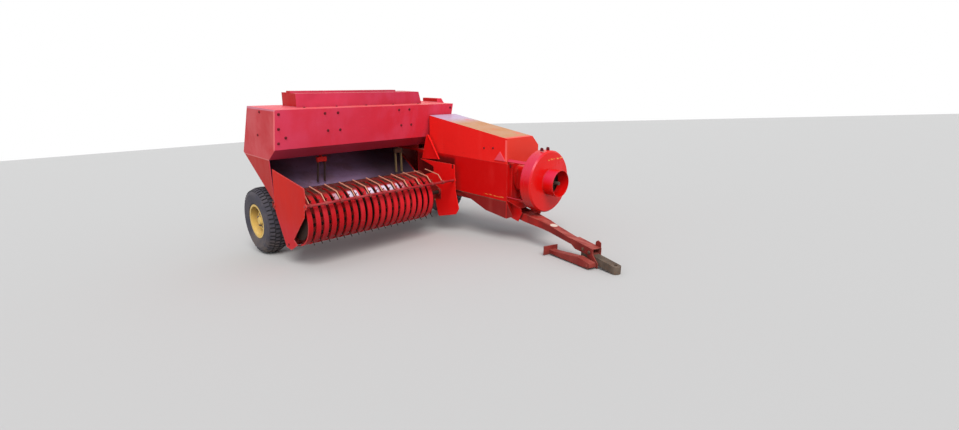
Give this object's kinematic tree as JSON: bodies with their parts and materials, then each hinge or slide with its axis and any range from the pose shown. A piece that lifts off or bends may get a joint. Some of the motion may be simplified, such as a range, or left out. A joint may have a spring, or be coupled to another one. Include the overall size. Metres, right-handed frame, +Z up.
{
  "type": "small square baler",
  "caption": "Towed small square baler parked on its hitch tongue, with side pickup, feeder hood, round drive guard, bale chamber, knotters and folding bale ramp.",
  "frame": {"origin": "middle of the parked machine's footprint, on the floor", "axes": "+Y to the rear, +X to the machine's left, +Z up"},
  "size_m": [2.615, 5.1242, 1.6114],
  "materials": {
    "faded_red_paint": "faded satin",
    "bright_red_paint": "satin",
    "dark_red_paint": "worn matt",
    "crimson_band_paint": "worn satin",
    "worn_bare_steel": "crop-polished",
    "rusty_cast_iron": "rusty",
    "rusty_steel": "rusty",
    "ochre_rim_paint": "worn matt",
    "tyre_rubber": "dusty"
  },
  "bodies": {
    "root": {"chamber_floor": "rusty_steel", "chamber_wall_left": "bright_red_paint", "chamber_wall_right": "bright_red_paint", "chamber_roof": "bright_red_paint", "plunger": "rusty_steel", "crank_hood": "bright_red_paint", "front_frame": "dark_red_paint", "gearbox": "dark_red_paint", "flywheel_guard": "bright_red_paint", "feeder_hood": "faded_red_paint", "feeder_top_cover": "faded_red_paint", "feed_side_wall": "faded_red_paint", "feed_floor": "worn_bare_steel", "feeder_beam": "dark_red_paint", "feeder_shaft": "worn_bare_steel", "feeder_forks": "rusty_steel", "feeder_drive_case": "faded_red_paint", "inlet_gusset": "bright_red_paint", "underframe": "dark_red_paint", "axle_beam": "dark_red_paint", "drawbar_bracket": "dark_red_paint", "pickup_hinges": "dark_red_paint", "knotter_frame": "rusty_cast_iron", "knotters": "rusty_cast_iron", "star_wheel_mount": "dark_red_paint", "tension_rails": "dark_red_paint", "tension_beams": "dark_red_paint", "tension_screws": "worn_bare_steel", "twine_box": "faded_red_paint"},
    "wheel_right": {"tyre_right": "tyre_rubber", "rim_right": "ochre_rim_paint"},
    "wheel_left": {"tyre_left": "tyre_rubber", "rim_left": "ochre_rim_paint"},
    "flywheel": {"flywheel": "rusty_cast_iron"},
    "drawbar": {"drawbar": "dark_red_paint", "hitch_tongue": "rusty_cast_iron"},
    "stand": {"parking_stand": "dark_red_paint"},
    "pickup": {"pickup_plate_right": "bright_red_paint", "pickup_plate_left": "bright_red_paint", "pickup_frame": "dark_red_paint", "stripper_bands": "crimson_band_paint"},
    "reel": {"pickup_reel": "rusty_steel"},
    "guard": {"crop_guard": "crimson_band_paint"},
    "yoke": {"needle_yoke": "worn_bare_steel"},
    "knotter_lid": {"knotter_cover": "faded_red_paint"},
    "star": {"star_wheel": "rusty_steel"},
    "ramp": {"bale_ramp": "dark_red_paint"},
    "twine_box_lid": {"twine_lid": "faded_red_paint"}
  },
  "joints": [
    {"name": "wheel_right_spin", "type": "hinge", "parent": "root", "child": "wheel_right", "pos_m": [-1.1875, 0.63465, 0.34268], "axis": [1, 0, 0], "continuous": true},
    {"name": "wheel_left_spin", "type": "hinge", "parent": "root", "child": "wheel_left", "pos_m": [1.1845, 0.63465, 0.34268], "axis": [1, 0, 0], "continuous": true},
    {"name": "flywheel_spin", "type": "hinge", "parent": "root", "child": "flywheel", "pos_m": [0.7495, -1.51273, 0.6175], "axis": [0, -0.9963, -0.0855], "continuous": true},
    {"name": "drawbar_swing", "type": "hinge", "parent": "root", "child": "drawbar", "pos_m": [0.7495, -1.07037, 0.32828], "axis": [0, -0.0855, 0.9963], "range_deg": [0, 35]},
    {"name": "stand_fold", "type": "hinge", "parent": "drawbar", "child": "stand", "pos_m": [0.36065, -2.32134, 0.03018], "axis": [-0.9563, 0.2913, 0.025], "range_deg": [0, 82]},
    {"name": "pickup_lift", "type": "hinge", "parent": "root", "child": "pickup", "pos_m": [-0.3505, 0.16057, 0.54537], "axis": [1, 0, 0], "range_deg": [0, 24]},
    {"name": "reel_spin", "type": "hinge", "parent": "pickup", "child": "reel", "pos_m": [-0.3505, -0.21333, 0.45807], "axis": [1, 0, 0], "continuous": true},
    {"name": "guard_lift", "type": "hinge", "parent": "pickup", "child": "guard", "pos_m": [-0.3505, -0.47596, 0.60615], "axis": [1, 0, 0], "range_deg": [0, 50]},
    {"name": "needle_swing", "type": "hinge", "parent": "root", "child": "yoke", "pos_m": [0.7495, 0.65102, 0.85345], "axis": [1, 0, 0], "range_deg": [0, 67]},
    {"name": "knotter_cover_open", "type": "hinge", "parent": "root", "child": "knotter_lid", "pos_m": [0.7495, 1.28252, 1.04015], "axis": [-1, 0, 0], "range_deg": [0, 85]},
    {"name": "star_wheel_spin", "type": "hinge", "parent": "root", "child": "star", "pos_m": [0.7495, 1.65026, 1.13897], "axis": [1, 0, 0], "continuous": true},
    {"name": "bale_ramp_fold", "type": "hinge", "parent": "root", "child": "ramp", "pos_m": [0.7495, 2.10059, 0.68683], "axis": [1, 0, 0], "range_deg": [0, 90]},
    {"name": "twine_lid_open", "type": "hinge", "parent": "root", "child": "twine_box_lid", "pos_m": [1.0395, 0.66641, 1.14182], "axis": [0, -0.9963, -0.0855], "range_deg": [0, 100]}
  ]
}
